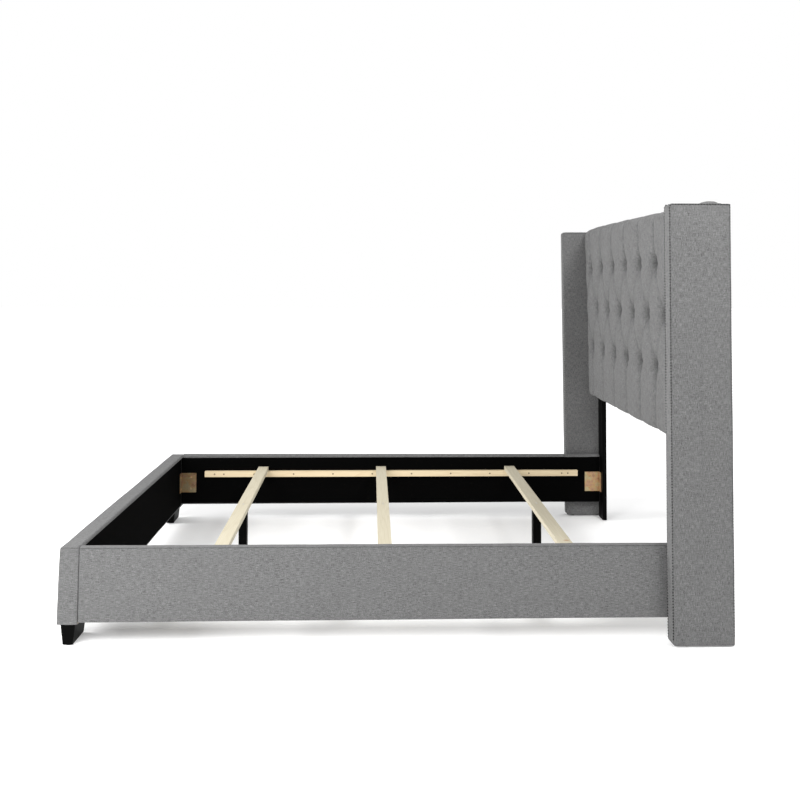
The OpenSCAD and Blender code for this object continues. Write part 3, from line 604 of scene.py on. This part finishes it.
def tufted_headboard():
    low, high = (np.array(v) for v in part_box("headboard_cover"))
    buttons = button_places()
    folds = fold_lines(buttons, low, high)
    step = 4 * MM
    back = high[0] - 0.6 * MM
    corners = [(low[0], low[2]), (back, low[2]), (back, high[2]), (low[0], high[2])]
    shares = []
    for i in range(4):
        length = abs(corners[i][0] - corners[(i + 1) % 4][0]) + abs(
            corners[i][1] - corners[(i + 1) % 4][1])
        shares.append(np.linspace(0, 1, round(length / (step if i != 1 else 20 * MM)) + 1))
    radii = [26 * MM, 4 * MM, 30 * MM, 42 * MM]
    end_r = 16 * MM
    bend = np.linspace(0, math.pi / 2, 9)
    ends = [(end_r * (1 - math.cos(a)), end_r * (1 - math.sin(a))) for a in bend]
    inner = np.arange(end_r + step, high[1] - low[1] - end_r, step)
    stations = [(low[1] + w, i) for w, i in ends] + [(low[1] + w, 0.0) for w in inner]
    stations += [(high[1] - w, i) for w, i in reversed(ends)]
    rings = [rounded_outline(corners, radii, inset, shares, arc_steps=12)
             for _, inset in stations]
    around = len(rings[0])
    flat = np.concatenate(rings)
    points = np.column_stack([flat[:, 0], np.repeat([w for w, _ in stations], around),
                              flat[:, 1]])
    faces = outward(points, loft_faces(len(stations), around))
    normal = mesh_normals(points, faces)
    depth = tuft_depth(points[:, 1], np.clip(points[:, 2], low[2], high[2]), buttons, folds)
    # the folds run over the rounded edges and fade on the way to the back
    behind = np.clip((points[:, 0] - low[0]) / (high[0] - low[0]), 0, 1)
    fade = np.clip(1.12 - behind * 1.12, 0, 1) ** 0.8
    from_end = high[1] - np.abs(points[:, 1])
    side = np.clip(from_end / (26 * MM), 0, 1)
    loose = ripple(points, 0.16, 3) * 1.1 * MM + ripple(points, 0.05, 4) * 0.35 * MM
    front = np.clip(-normal[:, 0], 0, 1)
    shift = (depth - PUFF * front) * fade * (0.35 + 0.65 * side) + loose * fade * side
    inwards = -normal * shift[:, None]
    straight = np.zeros_like(inwards)
    straight[:, 0] = shift
    points = points + inwards * (1 - front)[:, None] + straight * front[:, None]
    # the top droops towards both ends, the bottom edge hangs a little, and the left end
    # stands back towards its bottom
    up = np.clip((points[:, 2] - low[2]) / (high[2] - low[2]), 0, 1)
    droop = DROOP * np.clip(0.5 - points[:, 1], 0, 1.02)
    droop += np.where(points[:, 1] > 0, END_DROOP * np.exp(-from_end / END_REACH), 0)
    points[:, 2] -= droop * np.clip(up * 6 - 5, 0, 1)
    points[:, 2] -= HANG * np.clip(1 - up * 8, 0, 1)
    across = np.clip((points[:, 1] - low[1]) / (high[1] - low[1]), 0, 1)
    points[:, 0] += END_BACK * across * (1 - up) * np.clip(1 - behind * 1.6, 0, 1)
    # painted shade: the deeper a fold or dimple lies, the darker the cover is coloured there, as
    # shade falls in it
    painted_fold_shade = 1.1 * np.clip((depth - 3 * MM) / BUTTON_IN, 0, 0.9) ** 1.25 * fade
    piece("tufted_headboard", points, faces, PANEL_LINEN,
          ("headboard_foam", "headboard_cover"), crease_and_painted_shade=painted_fold_shade)
    covered_buttons(buttons)


def covered_buttons(buttons):
    """Fabric-covered domes with a gathered rim, one solid for each button."""
    low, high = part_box("tuft_buttons")
    around, rings = 28, 9
    points, faces = [], []
    for n, (y, z) in enumerate(buttons):
        first = len(points)
        for k in range(rings):
            share = k / (rings - 1)
            r = BUTTON_R * math.sin(share * math.pi / 2) ** 0.9
            x = low[0] + (high[0] - low[0]) * 0.62 * (1 - math.cos(share * math.pi / 2))
            for i in range(around):
                a = 2 * math.pi * i / around
                gather = 1 + 0.02 * share * math.sin(9 * a + n)
                points.append((x, y + r * gather * math.cos(a), z + r * gather * math.sin(a)))
        for i in range(around):
            a = 2 * math.pi * i / around
            points.append((high[0], y + BUTTON_R * 0.86 * math.cos(a),
                           z + BUTTON_R * 0.86 * math.sin(a)))
        for k in range(1, rings):
            for i in range(around):
                a, b = first + k * around, first + (k + 1) * around
                j = (i + 1) % around
                faces.append((a + i, b + i, b + j, a + j))
        ring = first + around
        faces.append(tuple(ring + i for i in range(around)))
        faces.append(tuple(first + rings * around + i for i in reversed(range(around))))
    used = sorted({i for f in faces for i in f})
    index = {old: new for new, old in enumerate(used)}
    points = [points[i] for i in used]
    faces = [tuple(index[i] for i in f) for f in faces]
    piece("covered_buttons", points, faces, MATERIALS["linen"], ("tuft_buttons",))


# ---- wings --------------------------------------------------------------------

WING_EDGE_R = 3 * MM
WING_RADII = (12 * MM, 4 * MM, 6 * MM, 11 * MM)   # front bottom, back bottom, back top, front top
SEAM_IN = 3.6 * MM       # from a wing's edge to the seam on its side
SEAM_HALF, SEAM_DEEP = 0.9 * MM, 1.2 * MM
OUTER_CROWN, INNER_CROWN = 2.2 * MM, 0.2 * MM
CROWN_REACH = 92 * MM    # a side panel rises this far in from its seam
STITCH_PITCH = 9.4 * MM


def wing_outline(low, high):
    corners = [(low[0], low[2]), (high[0], low[2]), (high[0], high[2]), (low[0], high[2])]
    return corners, WING_RADII


def lean_back(points, low, high, amount):
    """Moves a wing's front edge back: (at its top, at the floor)."""
    front = np.clip((low[0] + 80 * MM - points[:, 0]) / (80 * MM), 0, 1)
    up = (points[:, 2] - low[2]) / (high[2] - low[2])
    points[:, 0] += front * (amount[0] * up + amount[1] * (1 - up))


def wing(side_name):
    """One wing: crowned side panels, sewn to the boxing strip that runs round between them."""
    low, high = (np.array(v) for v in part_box(f"wing_cover_{side_name}"))
    corners, radii = wing_outline(low, high)
    width = high[1] - low[1]
    middle_x, half = (low[0] + high[0]) / 2, (high[0] - low[0]) / 2
    line = ((middle_x, low[2] + half), (middle_x, high[2] - half))
    coarse = 9 * MM
    flat, across, insets, around = slab(corners, radii, width, WING_EDGE_R, coarse, 36 * MM,
                                        line)
    left = side_name == "left"
    outer_side = 1 if left else -1
    start = low[1] if left else high[1]
    points = np.column_stack([flat[:, 0], start + outer_side * across, flat[:, 1]])
    faces = outward(points, loft_faces(len(across) // around, around))
    normal = mesh_normals(points, faces)
    above = np.clip((points[:, 2] - low[2] - 4 * MM) / (6 * MM), 0, 1)
    crease_and_painted_shade = np.exp(-((insets - SEAM_IN) / SEAM_HALF) ** 2) * above
    rear = np.clip((flat[:, 0] - middle_x) / (20 * MM), 0, 1)
    ahead = np.clip((middle_x - flat[:, 0]) / (20 * MM) - 2, 0, 1)
    crease_and_painted_shade *= 1 - 0.95 * np.maximum(rear, 0.6 * ahead) * (flat[:, 1] < high[2] - 8 * MM)
    shift = -SEAM_DEEP * crease_and_painted_shade
    # the strip is a little full, and the right wing's is drawn down along its top
    strip = np.clip((across - WING_EDGE_R) / (width - 2 * WING_EDGE_R), 0, 1)
    on_edge = insets == 0
    drawn = 0.0 if left else 2.4 * np.clip(normal[:, 2], 0, 1)
    full = 0.6 * np.sin(math.pi * strip) ** 0.7 - drawn
    shift += np.where(on_edge, full * MM, 0.0) * above
    crown = 1 - (1 - np.clip((insets - SEAM_IN) / CROWN_REACH, 0, 1)) ** 2
    on_outer = across > width / 2
    shift += np.where(insets > SEAM_IN, np.where(on_outer, OUTER_CROWN, INNER_CROWN) * crown, 0.0)
    seed = 11 if left else 17
    loose = ripple(points, 0.35, seed) * 0.7 * MM + ripple(points, 0.08, seed + 1) * 0.22 * MM
    shift += loose * np.where(on_outer | on_edge, 1.0, 0.25) * above
    points = points + normal * shift[:, None]
    lean = (2.4 * MM, 16.5 * MM) if left else (-1.0 * MM, 0.0)
    lean_back(points, low, high, lean)
    # painted shade along the side seam: the mask that sinks the groove also darkens the linen there
    piece(f"wing_upholstery_{side_name}", points, faces, WING_LINEN,
          (f"wing_cover_{side_name}", f"wing_padding_{side_name}"), crease_and_painted_shade=crease_and_painted_shade * 0.8)
    stitch_wing(side_name, low, high, outer_side, lean)


def stitch_run(path, out, ahead, beside, pitch, length, radius, lean):
    """Capsule-like stitches along a path, slanted by lean: points and faces of one run."""
    around, along = 6, 4
    points, faces = [], []
    lengths = np.concatenate([[0], np.cumsum(np.linalg.norm(np.diff(path, axis=0), axis=1))])

    def at_length(values, at):
        return np.array([np.interp(at, lengths, values[:, k]) for k in range(3)])

    for n in range(int(lengths[-1] / pitch)):
        at = (n + 0.5) * pitch
        centre, normal = at_length(path, at), at_length(out, at)
        normal /= np.linalg.norm(normal)
        run = at_length(ahead, at) + lean * at_length(beside, at)
        run /= np.linalg.norm(run)
        cross = np.cross(run, normal)
        first = len(points)
        for k in range(along + 1):
            share = 2 * k / along - 1
            swell = math.sqrt(1 - share ** 2) * 0.75 + 0.25
            middle = centre + run * share * length / 2 + normal * radius * 0.5 * (1 - share ** 2)
            for i in range(around):
                a = 2 * math.pi * i / around
                points.append(middle + radius * swell * (math.cos(a) * normal
                                                         + math.sin(a) * cross))
        for k in range(along):
            for i in range(around):
                a, b, j = first + k * around, first + (k + 1) * around, (i + 1) % around
                faces.append((a + i, a + j, b + j, b + i))
        faces.append(tuple(first + i for i in reversed(range(around))))
        faces.append(tuple(first + along * around + i for i in range(around)))
    return points, faces


def stitch_wing(side_name, low, high, outer_side, lean):
    """Topstitching: on the outer side beside its seam, and on the strip by its inner edge."""
    corners, radii = wing_outline(low, high)
    shares = [np.linspace(0, 1, 60)] * len(corners)

    def open_ring(inset):
        ring = rounded_outline(corners, radii, inset, shares, arc_steps=8)
        keep = ring[:, 1] > low[2] + 9 * MM
        start = int(np.argmax(keep & ~np.roll(keep, 1)))
        ring = np.roll(ring, -start, 0)[: int(keep.sum())]
        tangent = np.gradient(ring, axis=0)
        tangent /= np.linalg.norm(tangent, axis=1)[:, None]
        return ring, tangent, np.column_stack([tangent[:, 1], -tangent[:, 0]])

    def lift(flat, y=0.0):
        return np.column_stack([flat[:, 0], np.full(len(flat), y), flat[:, 1]])

    inner = low[1] if outer_side > 0 else high[1]
    outer = high[1] if outer_side > 0 else low[1]
    ring, tangent, normal = open_ring(2.4 * MM)
    sideways = np.tile([0.0, outer_side, 0.0], (len(ring), 1))
    path = lift(ring, outer - outer_side * 0.9 * MM)
    points, faces = stitch_run(path, sideways, lift(tangent), lift(normal), STITCH_PITCH,
                               5.2 * MM, 2.1 * MM, 0.8)
    ring, tangent, normal = open_ring(0.0)
    path = lift(ring, inner + outer_side * (WING_EDGE_R + 3.2 * MM)) + lift(normal) * -1.5 * MM
    sideways = np.tile([0.0, outer_side, 0.0], (len(ring), 1))
    more, more_faces = stitch_run(path, lift(normal), lift(tangent), sideways, STITCH_PITCH,
                                  6.6 * MM, 2.5 * MM, 1.0)
    faces += [tuple(i + len(points) for i in f) for f in more_faces]
    points = np.array(points + more)
    lean_back(points, low, high, lean)
    # the stitches' near-black colour is partly painted shade of the holes and puckers along the
    # seams
    piece(f"wing_stitches_{side_name}", points, faces, THREAD_AND_PAINTED_SHADE)


# ---- rails and footboard ----------------------------------------------------------

WRAP = 11 * MM           # the fabric is turned down inside by this much
RECESS = 1.25 * MM       # below it, the inner side stands back to clear the lining
SEAM_DOWN = 2.0 * MM     # from the top edge to the seam below it
TOP_SEAM_DEEP = 1.3 * MM
FOOT_SKEW = 4.3 * MM     # the footboard's left end stands this far nearer the head
END_GAP, FLOOR_GAP = 1.3 * MM, 0.9 * MM    # rail to footboard, and more towards the floor


def foot_lean(y, share_up):
    """How far the footboard's outer and inner faces stand from the CAD's: it leans out
    towards the floor, and its left end stands a little nearer the head."""
    skew = FOOT_SKEW * y / 0.82
    outer = 1.6 * MM + skew - 7.2 * MM * (1 - share_up)
    inner = 5.6 * MM + skew - 4.0 * MM * (1 - share_up)
    return outer, inner


def rail(side_name):
    """Fabric over a rail: flat outer face, seam along its top edge, turned down inside."""
    low, high = (np.array(v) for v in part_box(f"rail_cover_{side_name}"))
    left = side_name == "left"
    inner = low[1] if left else high[1]
    width, tall, length = high[1] - low[1], high[2] - low[2], high[0] - low[0]
    # outline in (distance from the inner face, height)
    corners = [(0, 0), (width, 0), (width, tall), (0, tall)]
    radii = [1.0 * MM, 3 * MM, 2.5 * MM, 6 * MM]
    ring = rounded_outline(corners, radii, 0.0, edge_shares(corners, 10 * MM), arc_steps=8)
    around = len(ring)
    coarse = 9 * MM
    xs = low[0] + graded(length, coarse)
    flat = np.tile(ring, (len(xs), 1))
    sign = 1 if left else -1
    points = np.column_stack([np.repeat(xs, around), inner + sign * flat[:, 0],
                              low[2] + flat[:, 1]])
    faces = outward(points, loft_faces(len(xs), around))
    normal = mesh_normals(points, faces)
    depth, up = flat[:, 0], flat[:, 1]
    outer_face = np.abs(depth - width) < MM
    top_face = up > tall - MM
    crown = np.sin(math.pi * np.clip(up / tall, 0, 1)) ** 0.6
    shift = np.where(outer_face, 1.0 * MM * (crown - 0.5), 0.0)
    seed = 23 if left else 29
    shift += ripple(points, 0.5, seed) * np.where(outer_face, 0.7, 0.15) * MM
    shift += ripple(points, 0.11, seed + 1) * np.where(outer_face | top_face, 0.25, 0.0) * MM
    crease_and_painted_shade = np.exp(-((up - tall + SEAM_DOWN) / (1.1 * MM)) ** 2) * (depth > width - 4 * MM)
    shift -= TOP_SEAM_DEEP * crease_and_painted_shade
    points = points + normal * shift[:, None]
    # the foot end follows the footboard's lean, and the lower edge hangs down towards it
    share_up = np.clip(up / tall, 0, 1)
    to_foot = np.clip(1 - (points[:, 0] - low[0]) / (70 * MM), 0, 1)
    along = (points[:, 0] - low[0]) / length
    inner_lean = foot_lean(points[:, 1], share_up)[1]
    outwards = np.clip(depth / (12 * MM), 0, 1)
    gap = END_GAP + FLOOR_GAP * (1 - share_up)
    points[:, 0] += (inner_lean + gap) * to_foot * outwards
    points[:, 2] += (1.1 - 4.4 * np.clip(1 - along * 1.2, 0, 1)) * MM * (1 - share_up)
    if left:
        points[:, 2] += (4.2 - 6.4 * along) * MM * share_up ** 6
    recessed = (depth < 0.5 * MM) & (up < tall - WRAP)
    points[:, 1] += np.where(recessed, sign * RECESS, 0.0)
    # painted shade along the top seam: the mask that sinks the groove also darkens the linen there
    piece(f"rail_upholstery_{side_name}", points, faces, MATERIALS["linen"],
          (f"rail_cover_{side_name}", f"rail_padding_{side_name}"), crease_and_painted_shade=crease_and_painted_shade * 0.75)


def footboard():
    """Fabric over the footboard: square ends, a seam round its top edge, turned down inside."""
    low, high = (np.array(v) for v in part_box("footboard_cover"))
    recess_end = high[1] - 21 * MM
    corners = [(low[0], low[2]), (high[0], low[2]), (high[0], high[2]), (low[0], high[2])]
    radii = [3 * MM, 2 * MM, 8 * MM, 5 * MM]
    coarse = 9 * MM
    thick, tall, width = high[0] - low[0], high[2] - low[2], high[1] - low[1]
    middle_x = (low[0] + high[0]) / 2
    line = ((middle_x, low[2] + thick / 2), (middle_x, high[2] - thick / 2))
    flat, across, _, around = slab(corners, radii, width, 5 * MM, coarse, 18 * MM, line)
    points = np.column_stack([flat[:, 0], low[1] + across, flat[:, 1]])
    faces = outward(points, loft_faces(len(across) // around, around))
    normal = mesh_normals(points, faces)
    up = points[:, 2] - low[2]
    outer_face = points[:, 0] < low[0] + MM
    inner_face = points[:, 0] > high[0] - 0.3 * MM
    crown = np.sin(math.pi * np.clip(up / tall, 0, 1)) ** 0.6
    shift = np.where(outer_face, 1.5 * MM * (crown - 0.4), 0.0)
    shift += ripple(points, 0.45, 31) * np.where(inner_face, 0.0, 0.8) * MM
    shift += ripple(points, 0.10, 32) * np.where(inner_face, 0.0, 0.25) * MM
    sewn = (points[:, 0] < low[0] + 4 * MM) | (across < 3 * MM) | (across > width - 3 * MM)
    crease_and_painted_shade = np.exp(-((up - tall + SEAM_DOWN) / (1.0 * MM)) ** 2) * sewn
    shift -= TOP_SEAM_DEEP * crease_and_painted_shade
    share_in = np.clip((points[:, 0] - low[0]) / thick, 0, 1)
    points = points + normal * shift[:, None]
    outer_lean, inner_lean = foot_lean(points[:, 1], np.clip(up / tall, 0, 1))
    recessed = inner_face & (up < tall - WRAP) & (np.abs(points[:, 1]) < recess_end)
    points[:, 0] += np.where(recessed, -RECESS,
                             outer_lean + (inner_lean - outer_lean) * share_in)
    points[:, 2] -= 1.5 * MM * (up < 10 * MM)
    # painted shade along the top seam: the mask that sinks the groove also darkens the linen there
    piece("footboard_upholstery", points, faces, MATERIALS["linen"],
          ("footboard_cover", "footboard_padding"), crease_and_painted_shade=crease_and_painted_shade * 0.75)


# ---- small things ------------------------------------------------------------------

def staples():
    """Wire staples that hold the dust cover round its edge."""
    low, high = (np.array(v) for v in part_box("headboard_dust_cover"))
    x, pitch, half, wire = high[0], 55 * MM, 5 * MM, 0.45 * MM
    inset = 9 * MM
    spots = []
    for y in np.arange(low[1] + 2 * inset, high[1] - inset, pitch):
        spots += [(y, low[2] + inset, 0), (y, high[2] - inset, 0)]
    for z in np.arange(low[2] + 3 * inset, high[2] - 2 * inset, pitch):
        spots += [(low[1] + inset, z, 1), (high[1] - inset, z, 1)]
    points, faces = [], []
    for y, z, upright in spots:
        first = len(points)
        for s in (-1, -0.8, 0.8, 1):
            rise = wire * (0.2 if abs(s) == 1 else 1.6)
            for dx, dw in ((rise, -wire), (rise, wire), (rise - wire * 0.9, wire),
                           (rise - wire * 0.9, -wire)):
                a, b = s * half, dw
                dy, dz = (b, a) if upright else (a, b)
                points.append((x + dx, y + dy, z + dz))
        for k in range(3):
            for i in range(4):
                a, b, j = first + 4 * k, first + 4 * (k + 1), (i + 1) % 4
                faces.append((a + i, a + j, b + j, b + i))
        faces.append(tuple(first + i for i in (3, 2, 1, 0)))
        faces.append(tuple(first + 12 + i for i in range(4)))
    piece("dust_cover_staples", points, outward(points, faces), MATERIALS["zinc"])


# ---- studio ------------------------------------------------------------------------

SKY = 0.5
# name, place, aimed at, size in metres, power in watts
LAMPS = (("foot_side", (-4.8, 0.0, 2.6), (1.0, 0.0, 1.0), 2.0, 222),
         ("near_foot", (-1.6, -2.2, 1.9), (-0.8, -0.8, 0.2), 1.3, 62),
         ("near_head", (1.7, -2.05, 3.0), (1.0, -0.8, 1.4), 0.8, 64),
         ("behind", (3.4, 3.2, 3.2), (0.6, 0.2, 0.6), 2.6, 45))
# the floor's own light: under the bed, and where it grows along an axis, (0 = X, 1 = Y, from,
# to, the most it reaches)
FLOOR_GLOW = 0.055
GLOW_GROWS = ((1, -0.68, -0.76, 0.34),
              (1, 1.15, 2.3, 0.45), (0, -1.12, -1.5, 0.45), (0, 1.4, 2.1, 0.45),
              (1, 2.0, 6.0, 0.8), (0, 2.5, 6.0, 0.8), (0, -2.5, -6.0, 0.8), (1, -2.5, -6.0, 0.8))


def studio():
    mesh = bpy.data.meshes.new("floor")
    reach = 40.0
    mesh.from_pydata([(-reach, -reach, 0), (reach, -reach, 0), (reach, reach, 0),
                      (-reach, reach, 0)], [], [(0, 1, 2, 3)])
    floor = bpy.data.objects.new("floor", mesh)
    shader = Shader("floor", Roughness=0.9, Specular_IOR_Level=0.0,
                    Base_Color=opaque(0.92, 0.92, 0.92), Emission_Color=opaque(1, 1, 1))
    place = shader.add("ShaderNodeSeparateXYZ",
                       {0: shader.coords.outputs["Object"]}).outputs
    glow = FLOOR_GLOW
    for axis, start, end, most in GLOW_GROWS:
        grown = shader.spread(place[axis], start, end, FLOOR_GLOW, most)
        glow = shader.math("MAXIMUM", glow, grown)
    shader.feed(shader.principled.inputs["Emission Strength"], glow)
    mesh.materials.append(shader.material)
    bpy.context.scene.collection.objects.link(floor)
    # the sky is white to look at, and gives a softer light than it shows
    world = bpy.data.worlds.new("studio")
    world.use_nodes = True
    tree = world.node_tree
    path = tree.nodes.new("ShaderNodeLightPath")
    seen = tree.nodes.new("ShaderNodeMapRange")
    seen.inputs["To Min"].default_value, seen.inputs["To Max"].default_value = SKY, 1.0
    tree.links.new(path.outputs["Is Camera Ray"], seen.inputs["Value"])
    sky = tree.nodes["Background"].inputs
    sky["Color"].default_value = opaque(1, 1, 1)
    tree.links.new(seen.outputs["Result"], sky["Strength"])
    bpy.context.scene.world = world
    for name, place, aim, size, power in LAMPS:
        data = bpy.data.lights.new(name, "AREA")
        data.shape, data.size, data.energy = "SQUARE", size, power
        lamp = bpy.data.objects.new(name, data)
        lamp.rotation_mode = "QUATERNION"
        lamp.rotation_quaternion = (Vector(aim) - Vector(place)).to_track_quat("-Z", "Y")
        lamp.location = place
        lamp.visible_camera = False
        bpy.context.scene.collection.objects.link(lamp)
    bpy.context.scene.view_settings.view_transform = "Standard"


add_camera()
dress_cad_nodes()
tufted_headboard()
for side_name in ("left", "right"):
    wing(side_name)
    rail(side_name)
footboard()
staples()
studio()
